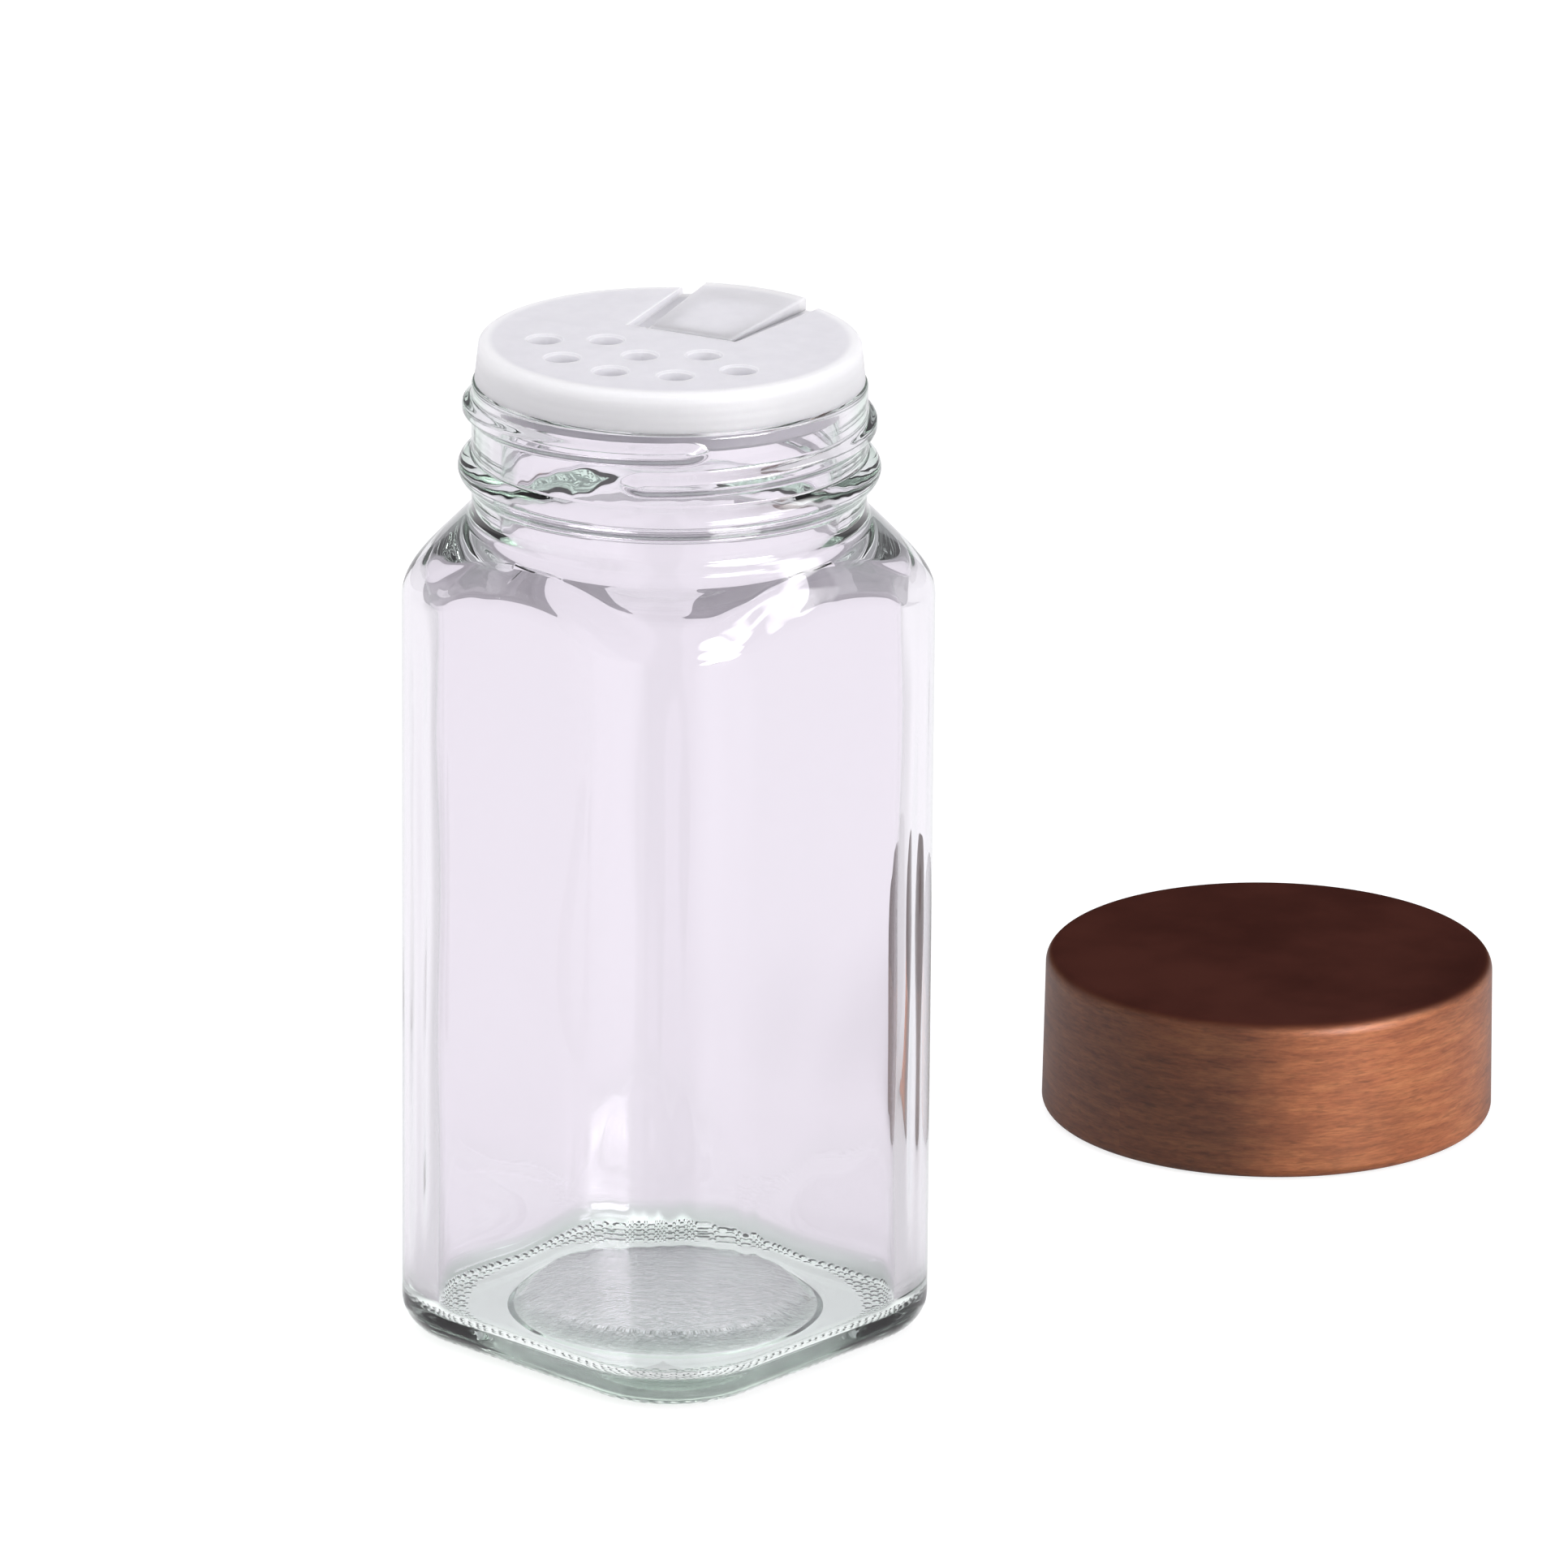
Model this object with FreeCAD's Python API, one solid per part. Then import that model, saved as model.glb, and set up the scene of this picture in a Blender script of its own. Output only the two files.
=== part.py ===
import FreeCAD, Part
import math
import os

V = FreeCAD.Vector
UP = V(0, 0, 1)

# All lengths are in millimetres and all bearings in degrees from +X towards +Y.
# The jar stands on z = 0 with its axis on the z axis and its flat faces square to x and y.
# The screw cap is off, and stands the right way up beside the jar.

# Glass jar: square body
body_corner_radius = 11.7
heel_radius = 3.4
wall = 2.2
cavity_corner_radius = 10.9
floor_thickness = 2.6
cavity_floor_radius = 2.2
push_up_radius = 15.3
push_up_step = 0.9
push_up_rise = 1.7
push_up_lip = 0.9
mound_inset = 0.6
mound_lip = 2.2
mound_step = 1.2
mound_rise = 0.9

# Glass jar: shoulder and neck
neck_base_height = 87.8
shoulder_land = 2.55
shoulder_angle = 45.9
shoulder_radius = 4.4
shoulder_thickness = 2.8
cavity_shoulder_angle = 30.0
neck_fillet = 2.2
neck_radius = 20.05
neck_height = 16.2
lip_height = 2.6
lip_step = 1.55
lip_wall = 1.3
lip_round = 0.5
step_round = 0.4
bead_swell = 1.4
bead_height = 3.2
bead_rise = 4.6

# Screw thread, shared by the neck and the cap
thread_lead = 3.3
thread_height = 0.95
thread_base_width = 2.5
thread_crest_width = 0.9
thread_sweep = 378.0
thread_drop = 5.1
thread_start_bearing = -147.5
thread_sink = 0.5
cap_thread_base_width = 1.9
cap_thread_crest_width = 0.7
cap_thread_sweep = 300.0
cap_thread_rise = 1.9
thread_clearance = 0.35

# Shaker insert
insert_clearance = 0.12
disc_thickness = 1.65
skirt_thickness = 0.8
skirt_flare = 0.35
skirt_gap = 0.25
insert_edge_round = 0.7
plug_thickness = 0.95
plug_length = 4.9
plug_chamfer = 0.4
hole_radius = 1.72
hole_edge_round = 0.22
inner_ring_radius = 6.45
outer_ring_radius = 12.7
inner_ring_step = 60.0
outer_ring_step = 30.5

# Pour flap, its pocket in the disc and the window under it
flap_bearing = 14.8
hinge_offset = 4.2
fold_width = 1.8
flap_half_hinge = 4.65
flap_half_rim = 5.85
flap_proud = 0.55
flap_fall = 0.95
flap_edge_round = 0.2
slot_at_hinge = 1.85
slot_at_rim = 2.3
ledge_thickness = 0.8
ledge_width = 1.0
window_hinge_land = 1.2
window_rim_land = 0.35
flap_plug_gap = 0.35
flap_plug_root = 0.15

# Screw cap: turned shell, threaded liner and seal disc
cap_place_x = 93.6
cap_place_y = -1.7
cap_wall = 2.0
cap_taper = 0.22
cap_height = 17.5
cap_top_round = 1.6
cap_foot_round = 1.1
cap_top_thickness = 3.4
liner_thickness = 0.85
liner_top_thickness = 1.0
liner_recess = 0.3
glue_gap = 0.05
seal_thickness = 1.1
seal_clearance = 0.3

# Cuts run past the faces that they open by this much
overrun = 2.0

# Faces of a thread and its host that lie closer than this are joined as one
join_tolerance = 0.0001

# Sizes and heights that follow from the values above
body_side = 2 * (neck_radius + shoulder_land)
rim_z = neck_base_height + neck_height
step_z = rim_z - lip_height
bead_z = neck_base_height + bead_rise
thread_start_z = step_z - thread_drop
disc_top_z = rim_z + disc_thickness
ledge_z = rim_z + ledge_thickness
flap_top_z = disc_top_z + flap_proud
hinge_top_z = flap_top_z - flap_fall
skirt_bottom_z = step_z + skirt_gap
lip_radius = neck_radius - lip_step
neck_bore_radius = lip_radius - lip_wall
thread_crest_radius = neck_radius + thread_height
skirt_inner_radius = lip_radius + insert_clearance
skirt_top_radius = skirt_inner_radius + skirt_thickness
plug_outer_radius = neck_bore_radius - insert_clearance
plug_inner_radius = plug_outer_radius - plug_thickness
shoulder_slope = math.tan(math.radians(shoulder_angle))
shoulder_turn = 90 - shoulder_angle
shoulder_slant = shoulder_land / math.cos(math.radians(shoulder_angle))
liner_inner_radius = thread_crest_radius + thread_clearance
liner_outer_radius = liner_inner_radius + liner_thickness
shell_bore_radius = liner_outer_radius + glue_gap
cap_radius = shell_bore_radius + cap_wall
liner_ceiling_z = cap_height - cap_top_thickness - liner_top_thickness
cap_centre = V(cap_place_x, cap_place_y, 0)


def point(radius, height):
    """A point of a profile that is turned about the z axis."""
    return V(radius, 0, height)


def turned(edges):
    """A solid of revolution about the z axis from a closed profile of edges."""
    face = Part.Face(Part.Wire(edges))
    return face.revolve(V(0, 0, 0), UP, 360)


def line(start, end):
    return Part.LineSegment(start, end).toShape()


def arc(start, middle, end):
    return Part.Arc(start, middle, end).toShape()


def outline(points):
    """Straight edges through the points, closed at the end."""
    return [line(a, b) for a, b in zip(points, points[1:] + points[:1])]


def corner_middle(centre, radius, angle):
    """The point of an arc at an angle, in the profile plane."""
    turn = math.radians(angle)
    return point(centre.x + radius * math.cos(turn), centre.z + radius * math.sin(turn))


def rounded_square(side, radius, height):
    """A closed wire, square to x and y, with rounded corners."""
    half = side / 2
    flat = half - radius
    edges = []
    for quarter in range(4):
        turn = math.radians(90 * quarter)
        across = V(math.cos(turn), math.sin(turn), 0)
        along = V(-math.sin(turn), math.cos(turn), 0)
        centre = across * flat + along * flat + UP * height
        start = centre + across * radius
        end = centre + along * radius
        middle = centre + (across + along).normalize() * radius
        edges.append(line(start - along * (2 * flat), start))
        edges.append(arc(start, middle, end))
    return Part.Wire(edges)


def square_block(side, radius, bottom, top):
    face = Part.Face(rounded_square(side, radius, bottom))
    return face.extrude(UP * (top - bottom))


def loop_at(shape, test):
    """The edges whose middle point passes a test."""
    found = []
    for edge in shape.Edges:
        middle = edge.valueAt((edge.FirstParameter + edge.LastParameter) / 2)
        if test(edge, middle):
            found.append(edge)
    return found


def shoulder_block(side, radius, bottom, cone_radius, cone_z, angle):
    """A square block cut off above by a cone of one slope, through one radius at one height."""
    reach = side
    low = cone_z - (reach - cone_radius) * math.tan(math.radians(angle))
    block = square_block(side, radius, bottom, cone_z)
    cone = turned(outline([
        point(0, low),
        point(reach, low),
        point(cone_radius, cone_z),
        point(0, cone_z),
    ]))
    base = square_block(2 * side, radius, bottom - overrun, low)
    return block.common(cone.fuse(base)).removeSplitter()


def shoulder_blend(radius):
    """A blend radius at an end of the shoulder, limited to half of the shoulder's slope."""
    return min(radius, shoulder_slant / 2 / math.tan(math.radians(shoulder_turn / 2)))


def jar_body():
    """The outside of the square body, rounded at the heel and the shoulder."""
    body = shoulder_block(
        body_side, body_corner_radius, 0, neck_radius, neck_base_height, shoulder_angle,
    )
    highest = neck_base_height - shoulder_land * shoulder_slope / 2

    def is_shoulder(edge, middle):
        return edge.BoundBox.ZMin > neck_base_height / 2 and middle.z < highest

    body = body.makeFillet(shoulder_blend(shoulder_radius), loop_at(body, is_shoulder))
    heel = loop_at(body, lambda edge, middle: edge.BoundBox.ZMax < heel_radius / 2)
    return body.makeFillet(heel_radius, heel)


def jar_neck():
    """The neck with its transfer bead and the recessed lip that the insert sits on."""
    foot_z = neck_base_height - shoulder_thickness
    half_bead = bead_height / 2
    lip_corner = point(lip_radius - lip_round, rim_z - lip_round)
    step_corner = point(neck_radius - step_round, step_z - step_round)
    profile = [
        line(point(0, foot_z), point(neck_radius, foot_z)),
        line(point(neck_radius, foot_z), point(neck_radius, bead_z - half_bead)),
        arc(
            point(neck_radius, bead_z - half_bead),
            point(neck_radius + bead_swell, bead_z),
            point(neck_radius, bead_z + half_bead),
        ),
        line(point(neck_radius, bead_z + half_bead), point(neck_radius, step_corner.z)),
        arc(
            point(neck_radius, step_corner.z),
            corner_middle(step_corner, step_round, 45),
            point(step_corner.x, step_z),
        ),
        line(point(step_corner.x, step_z), point(lip_radius, step_z)),
        line(point(lip_radius, step_z), point(lip_radius, lip_corner.z)),
        arc(
            point(lip_radius, lip_corner.z),
            corner_middle(lip_corner, lip_round, 45),
            point(lip_corner.x, rim_z),
        ),
        line(point(lip_corner.x, rim_z), point(0, rim_z)),
        line(point(0, rim_z), point(0, foot_z)),
    ]
    return turned(profile)


def neck_base_ring():
    """A ring with a concave face that blends the neck into the shoulder."""
    radius = shoulder_blend(neck_fillet)
    tangent = radius * math.tan(math.radians(shoulder_turn / 2))
    slope = math.radians(shoulder_angle)
    upper = point(neck_radius, neck_base_height + tangent)
    lower = point(neck_radius + tangent * math.cos(slope), neck_base_height - tangent * math.sin(slope))
    centre = point(neck_radius + radius, upper.z)
    return turned([
        line(point(neck_bore_radius, upper.z), upper),
        arc(upper, corner_middle(centre, radius, 180 + shoulder_turn / 2), lower),
        line(lower, point(neck_bore_radius, lower.z)),
        line(point(neck_bore_radius, lower.z), point(neck_bore_radius, upper.z)),
    ])


def thread_pieces(root, crest, base_width, crest_width, sweep, start_z, start_bearing):
    """A helical ridge from a root radius to a crest radius, and its two rounded ends."""
    sink = thread_sink if crest > root else -thread_sink
    slope = (base_width - crest_width) / (crest - root)
    deep = root - sink
    deep_half = (crest_width + slope * (crest - deep)) / 2
    crest_half = crest_width / 2
    corners = [
        point(deep, -deep_half),
        point(crest, -crest_half),
        point(crest, crest_half),
        point(deep, deep_half),
    ]
    climb = thread_lead * sweep / 360
    path = Part.Wire(Part.makeHelix(thread_lead, climb, root).Edges)
    ridge = path.makePipeShell([Part.Wire(outline(corners))], True, True)
    half = Part.Face(Part.Wire(outline([point(deep, 0), point(crest, 0), corners[2], corners[3]])))
    first = half.revolve(V(0, 0, 0), V(1, 0, 0), 180)
    last = half.revolve(V(0, 0, 0), V(1, 0, 0), -180)
    last.rotate(V(0, 0, 0), UP, sweep)
    last.translate(UP * climb)
    for piece in (ridge, first, last):
        piece.rotate(V(0, 0, 0), UP, start_bearing)
        piece.translate(UP * start_z)
    return [ridge, first, last]


def threaded(host, pieces):
    """The host with a thread's pieces joined to it one after the other."""
    for piece in pieces:
        host = host.fuse(piece, join_tolerance)
    return host


def jar_cavity():
    """The space inside the jar: square below, over a mound in its floor, and round through the neck."""
    side = body_side - 2 * wall
    cone_z = neck_base_height - shoulder_thickness
    block = shoulder_block(
        side, cavity_corner_radius, floor_thickness, neck_bore_radius, cone_z, cavity_shoulder_angle,
    )
    low = floor_thickness + cavity_floor_radius / 2
    floor = loop_at(block, lambda edge, middle: edge.BoundBox.ZMax < low)
    block = block.makeFillet(cavity_floor_radius, floor)
    mound = stepped_dome(
        push_up_radius - mound_inset, mound_lip, mound_step, mound_rise, floor_thickness,
    )
    bore = Part.makeCylinder(neck_bore_radius, rim_z - cone_z + 2 * overrun, V(0, 0, cone_z - overrun))
    return block.cut(mound).fuse(bore)


def stepped_dome(radius, lip, step, rise, bottom):
    """A round boss on a height, with a sloping step at its edge and a dome inside that."""
    inner = radius - lip
    dome_radius = (inner ** 2 + rise ** 2) / (2 * rise)
    half_turn = math.asin(inner / dome_radius) / 2
    top = bottom + step + rise
    middle = point(dome_radius * math.sin(half_turn), top - dome_radius * (1 - math.cos(half_turn)))
    return turned([
        line(point(0, bottom - overrun), point(radius, bottom - overrun)),
        line(point(radius, bottom - overrun), point(radius, bottom)),
        line(point(radius, bottom), point(inner, bottom + step)),
        arc(point(inner, bottom + step), middle, point(0, top)),
        line(point(0, top), point(0, bottom - overrun)),
    ])


def glass_jar():
    pieces = thread_pieces(
        neck_radius, thread_crest_radius, thread_base_width, thread_crest_width,
        thread_sweep, thread_start_z, thread_start_bearing,
    )
    neck = threaded(jar_neck(), pieces)
    outside = neck.fuse(neck_base_ring()).fuse(jar_body())
    push_up = stepped_dome(push_up_radius, push_up_lip, push_up_step, push_up_rise, 0)
    return outside.cut(jar_cavity()).cut(push_up).removeSplitter()


def along_flap(shape):
    """Turns a shape that was drawn along +x to the flap's bearing."""
    shape.rotate(V(0, 0, 0), UP, flap_bearing)
    return shape


def tapered_plate(start, end, half_start, half_end, bottom, top):
    """A flat plate along +x whose half width changes evenly from start to end."""
    face = Part.Face(Part.Wire(outline([
        V(start, -half_start, bottom),
        V(end, -half_end, bottom),
        V(end, half_end, bottom),
        V(start, half_start, bottom),
    ])))
    return face.extrude(UP * (top - bottom))


def flap_half_at(distance, at_hinge, at_rim):
    """A half width at a distance from the axis, between the hinge line and the rim."""
    share = (distance - hinge_offset) / (skirt_top_radius - hinge_offset)
    return at_hinge + (at_rim - at_hinge) * share


def flap_pocket():
    """The pocket that the flap lies in, open at the rim, with the thin fold at its other end."""
    start = hinge_offset - fold_width
    end = skirt_top_radius + overrun
    at_hinge = flap_half_hinge + slot_at_hinge
    at_rim = flap_half_rim + slot_at_rim
    half_start = flap_half_at(start, at_hinge, at_rim)
    half_end = flap_half_at(end, at_hinge, at_rim)
    return tapered_plate(start, end, half_start, half_end, ledge_z, disc_top_z + overrun)


def window_plate(gap, bottom, top):
    """The outline of the pour window, drawn in by a gap all round."""
    start = hinge_offset + window_hinge_land + gap
    end = plug_inner_radius - window_rim_land - gap
    inset = ledge_width + gap
    half_start = flap_half_at(start, flap_half_hinge, flap_half_rim) - inset
    half_end = flap_half_at(end, flap_half_hinge, flap_half_rim) - inset
    plate = tapered_plate(start, end, half_start, half_end, bottom, top)
    return plate.common(Part.makeCylinder(end, top - bottom, V(0, 0, bottom)))


def insert_profile():
    """The insert's section: disc, outer skirt that flares a little, and inner plug ring."""
    round_z = disc_top_z - insert_edge_round
    edge_centre = point(skirt_top_radius - insert_edge_round, round_z)
    return [
        line(point(0, rim_z), point(plug_inner_radius, rim_z)),
        line(point(plug_inner_radius, rim_z), point(plug_inner_radius, rim_z - plug_length)),
        line(
            point(plug_inner_radius, rim_z - plug_length),
            point(plug_outer_radius - plug_chamfer, rim_z - plug_length),
        ),
        line(
            point(plug_outer_radius - plug_chamfer, rim_z - plug_length),
            point(plug_outer_radius, rim_z - plug_length + plug_chamfer),
        ),
        line(point(plug_outer_radius, rim_z - plug_length + plug_chamfer), point(plug_outer_radius, rim_z)),
        line(point(plug_outer_radius, rim_z), point(skirt_inner_radius, rim_z)),
        line(point(skirt_inner_radius, rim_z), point(skirt_inner_radius, skirt_bottom_z)),
        line(
            point(skirt_inner_radius, skirt_bottom_z),
            point(skirt_top_radius + skirt_flare, skirt_bottom_z),
        ),
        line(point(skirt_top_radius + skirt_flare, skirt_bottom_z), point(skirt_top_radius, round_z)),
        arc(
            point(skirt_top_radius, round_z),
            corner_middle(edge_centre, insert_edge_round, 45),
            point(edge_centre.x, disc_top_z),
        ),
        line(point(edge_centre.x, disc_top_z), point(0, disc_top_z)),
        line(point(0, disc_top_z), point(0, rim_z)),
    ]


def shaker_hole(radius, bearing):
    """One round hole through the disc, with its upper edge rounded off."""
    hole = Part.makeCylinder(hole_radius, disc_thickness + 2 * overrun, V(radius, 0, rim_z - overrun))
    flare = Part.makeCone(
        hole_radius, hole_radius + hole_edge_round, hole_edge_round,
        V(radius, 0, disc_top_z - hole_edge_round),
    )
    hole = hole.fuse(flare)
    hole.rotate(V(0, 0, 0), UP, bearing)
    return hole


def shaker_holes():
    """An inner ring of three holes and an outer ring of five, opposite the flap."""
    middle = flap_bearing + 180
    holes = [shaker_hole(inner_ring_radius, middle + inner_ring_step * k) for k in range(-1, 2)]
    return holes + [shaker_hole(outer_ring_radius, middle + outer_ring_step * k) for k in range(-2, 3)]


def shaker_insert():
    insert = turned(insert_profile())
    window = window_plate(0, rim_z - overrun, disc_top_z)
    cuts = [along_flap(flap_pocket()), along_flap(window)] + shaker_holes()
    return insert.cut(cuts).removeSplitter()


def flap_top_at(distance):
    """The height of the flap's sloping top at a distance from the axis."""
    share = (distance - hinge_offset) / (skirt_top_radius - hinge_offset)
    return hinge_top_z + flap_fall * share


def flap_wedge(end):
    """A block as deep as the flap is, from its hinge edge on, wider than the flap."""
    half = 2 * flap_half_rim
    face = Part.Face(Part.Wire(outline([
        V(hinge_offset, -half, ledge_z),
        V(end, -half, ledge_z),
        V(end, -half, flap_top_at(end)),
        V(hinge_offset, -half, hinge_top_z),
    ])))
    return face.extrude(V(0, 2 * half, 0))


def pour_flap():
    """The flap, from its hinge edge to the rim, with a shallow plug for the window below."""
    end = skirt_top_radius + overrun
    half_end = flap_half_at(end, flap_half_hinge, flap_half_rim)
    plate = tapered_plate(hinge_offset, end, flap_half_hinge, half_end, ledge_z, flap_top_at(end))
    reach = Part.makeCylinder(skirt_top_radius, flap_top_at(end) - ledge_z, V(0, 0, ledge_z))
    plate = plate.common(flap_wedge(end)).common(reach)
    rounded = loop_at(plate, lambda edge, middle: middle.z > flap_top_at(middle.x) - flap_edge_round / 2)
    plate = plate.makeFillet(flap_edge_round, rounded)
    plug = window_plate(flap_plug_gap, rim_z, ledge_z + flap_plug_root)
    return along_flap(plate.fuse(plug).removeSplitter())


def cap_shell():
    """The turned wooden shell, a plain cup with a rounded top edge."""
    top_radius = cap_radius - cap_taper
    top_corner = point(top_radius - cap_top_round, cap_height - cap_top_round)
    foot_corner = point(cap_radius - cap_foot_round, cap_foot_round)
    ceiling_z = cap_height - cap_top_thickness
    shell = turned([
        line(point(0, ceiling_z), point(shell_bore_radius, ceiling_z)),
        line(point(shell_bore_radius, ceiling_z), point(shell_bore_radius, 0)),
        line(point(shell_bore_radius, 0), point(foot_corner.x, 0)),
        arc(
            point(foot_corner.x, 0),
            corner_middle(foot_corner, cap_foot_round, -45),
            point(cap_radius, foot_corner.z),
        ),
        line(point(cap_radius, foot_corner.z), point(top_radius, top_corner.z)),
        arc(
            point(top_radius, top_corner.z),
            corner_middle(top_corner, cap_top_round, 45),
            point(top_corner.x, cap_height),
        ),
        line(point(top_corner.x, cap_height), point(0, cap_height)),
        line(point(0, cap_height), point(0, ceiling_z)),
    ])
    shell.translate(cap_centre)
    return shell


def cap_liner():
    """The threaded plastic cup that is glued inside the shell."""
    top_z = cap_height - cap_top_thickness
    cup = turned(outline([
        point(0, liner_ceiling_z),
        point(liner_inner_radius, liner_ceiling_z),
        point(liner_inner_radius, liner_recess),
        point(liner_outer_radius, liner_recess),
        point(liner_outer_radius, top_z),
        point(0, top_z),
    ]))
    crest = neck_radius + thread_clearance
    pieces = thread_pieces(
        liner_inner_radius, crest, cap_thread_base_width, cap_thread_crest_width,
        cap_thread_sweep, cap_thread_rise, thread_start_bearing,
    )
    liner = threaded(cup, pieces).removeSplitter()
    liner.translate(cap_centre)
    return liner


def cap_seal():
    """The foam disc that lies against the liner's ceiling."""
    radius = liner_inner_radius - seal_clearance
    seal = Part.makeCylinder(radius, seal_thickness, V(0, 0, liner_ceiling_z - seal_thickness))
    seal.translate(cap_centre)
    return seal


def main():
    os.makedirs("parts", exist_ok=True)
    pieces = {
        "glass_jar": glass_jar(),
        "shaker_insert": shaker_insert(),
        "pour_flap": pour_flap(),
        "cap_shell": cap_shell(),
        "cap_liner": cap_liner(),
        "cap_seal": cap_seal(),
    }
    for name, shape in pieces.items():
        box = shape.BoundBox
        print(
            name, "solids", len(shape.Solids), "valid", shape.isValid(), "volume %.1f" % shape.Volume,
            "z %.2f to %.2f" % (box.ZMin, box.ZMax),
        )
        shape.exportStep(os.path.join("parts", name + ".step"))


main()
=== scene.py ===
import math

import bpy
import numpy as np
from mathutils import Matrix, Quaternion, Vector


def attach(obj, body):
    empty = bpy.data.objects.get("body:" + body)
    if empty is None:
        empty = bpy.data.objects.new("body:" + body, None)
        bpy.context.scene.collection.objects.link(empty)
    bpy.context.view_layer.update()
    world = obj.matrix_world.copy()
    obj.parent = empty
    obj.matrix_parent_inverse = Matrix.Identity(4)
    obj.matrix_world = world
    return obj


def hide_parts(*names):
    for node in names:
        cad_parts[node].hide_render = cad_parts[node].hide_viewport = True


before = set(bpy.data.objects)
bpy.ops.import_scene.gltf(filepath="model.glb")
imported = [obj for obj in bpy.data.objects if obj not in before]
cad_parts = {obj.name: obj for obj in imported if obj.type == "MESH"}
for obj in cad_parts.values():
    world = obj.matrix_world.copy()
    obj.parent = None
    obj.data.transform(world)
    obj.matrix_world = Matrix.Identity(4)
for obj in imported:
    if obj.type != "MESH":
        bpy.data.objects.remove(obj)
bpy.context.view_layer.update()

# Lengths are in metres unless a comment says otherwise, and angles are in degrees
MM = 0.001

# Camera, fitted to the outlines of the jar and the cap
IMAGE_PIXELS = 1932
FOCAL_PIXELS = 16882.1
SENSOR_MM = 36.0
CAMERA_DISTANCE = 1.4
CAMERA_AZIMUTH = -47.2
CAMERA_ELEVATION = 18.686
CAMERA_ROLL = 0.488
CAMERA_PIVOT_HEIGHT = 0.05
AIM_RIGHT = 0.011858
AIM_HEIGHT = 0.058436

# Glass jar, in millimetres
BEARINGS = 560
BODY_HALF = 22.6
BODY_CORNER = 11.7
HEEL_RADIUS = 3.4
CAVITY_HALF = 20.4
CAVITY_CORNER = 10.9
FLOOR_HEIGHT = 2.6
FLOOR_RADIUS = 2.2
MOUND_RADIUS = 15.0
MOUND_EDGE = 2.4
MOUND_RISE = 2.1
PUSH_UP_RADIUS = 15.3
PUSH_UP_LIP = 0.9
PUSH_UP_STEP = 0.9
PUSH_UP_RISE = 1.7
NECK_BASE = 87.8
NECK_RADIUS = 20.05
NECK_FILLET = 2.2
SHOULDER_ANGLE = 45.9
SHOULDER_RADIUS = 4.4
INNER_SHOULDER_ANGLE = 30.0
INNER_SHOULDER_RADIUS = 4.5
INNER_NECK_RADIUS = 2.5
SHOULDER_THICKNESS = 2.8
BORE_RADIUS = 17.2
RIM_HEIGHT = 104.0
STEP_HEIGHT = 101.4
STEP_ROUND = 0.4
LIP_RADIUS = 18.5
LIP_ROUND = 0.5
BEAD_HEIGHT = 92.4
BEAD_HALF = 1.75
BEAD_SWELL = 1.4
THREAD_START_HEIGHT = 96.3
THREAD_START_BEARING = -143.5
THREAD_LEAD = 3.3
THREAD_SWEEP = 370.0
THREAD_DEPTH = 0.95
THREAD_CREST_HALF = 0.3
THREAD_BASE_HALF = 1.3
THREAD_END_STRETCH = 2.2
THREAD_ZONE = (94.2, 101.0)
PLUG_BOTTOM = 98.8

# Unevenness of the inside wall, in millimetres: depths, then its ends below the neck and its fades
WAVE_DEPTH = 0.1
RIPPLE_DEPTH = 0.02
RIPPLE_REACH = 24.0
DIMPLE_DEPTH = 0.016
BORE_STREAK_DEPTH = 0.006
WAVE_END = 6.0
WAVE_FADE = 8.0
DIMPLE_ZONE = (16.0, 1.0)
DIMPLE_FADE = (5.0, 4.0)

# Glass: its colours where clear, at the edges of thick parts, on very slanted faces, and in its depth
GLASS_IOR = 1.52
GLASS_CLEAR = (0.95, 0.92, 0.96, 1)
GLASS_GREEN = (0.5, 0.80, 0.56, 1)
GLASS_SLANTED = (0.55, 0.64, 0.58, 1)
GLASS_TO_LAMPS = (0.97, 0.96, 0.975, 1)
GLASS_DEPTH = (0.2, 0.75, 0.4, 1)
GLASS_DENSITY = 3.5
GREEN_SLANT = (0.5, 0.92)
DARK_SLANT = (0.72, 0.95)
HEEL_GREEN = 0.4

# Underside of the jar: which faces it has, and its stipple, with a painted highlight and painted shade on
# each dot. Pitch and radii are in millimetres
UNDERSIDE_SLOPE = -0.7
UNDERSIDE_HEIGHT = 0.003
BASE_ROUGHNESS = 0.06
BASE_PLAIN = (0.95, 0.93, 0.96)
BASE_CLOUDS = [(0.38, (0.66, 0.72, 0.71)), (0.6, (0.98, 0.99, 0.99))]
CAST_SHARE = 0.9
STIPPLE_PITCH = 1.1
STIPPLE_SPREAD = 0.25
STIPPLE_FROM = (19.4, 20.6)
STIPPLE_DEPTH = 0.00025
# Painted light on the dots: a painted highlight in the middle of each and painted shade in a ring round it
STIPPLE_PAINTED_LIGHT = [
    (0.0, (1.0, 1.0, 1.0)),
    (0.22, (0.97, 0.97, 0.98)),
    (0.34, (0.6, 0.66, 0.64)),
    (0.5, BASE_PLAIN),
]

# Shaker insert
DISC_RADIUS = 0.01942
RIM_BAND = 0.0012
PLASTIC_EDGE = 0.0004
SKIRT_LINE_PITCH = 0.0009
SKIRT_LINE_WEIGHT = 1.6
FROST_DEPTH = 0.00002
PLASTIC_DULL = [(0.3, (0.735, 0.725, 0.775)), (0.7, (0.785, 0.775, 0.825))]
# Colour of the painted highlight at the insert's rim band and edges
PLASTIC_PAINTED_HIGHLIGHT = (0.96, 0.955, 0.985, 1)
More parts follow.
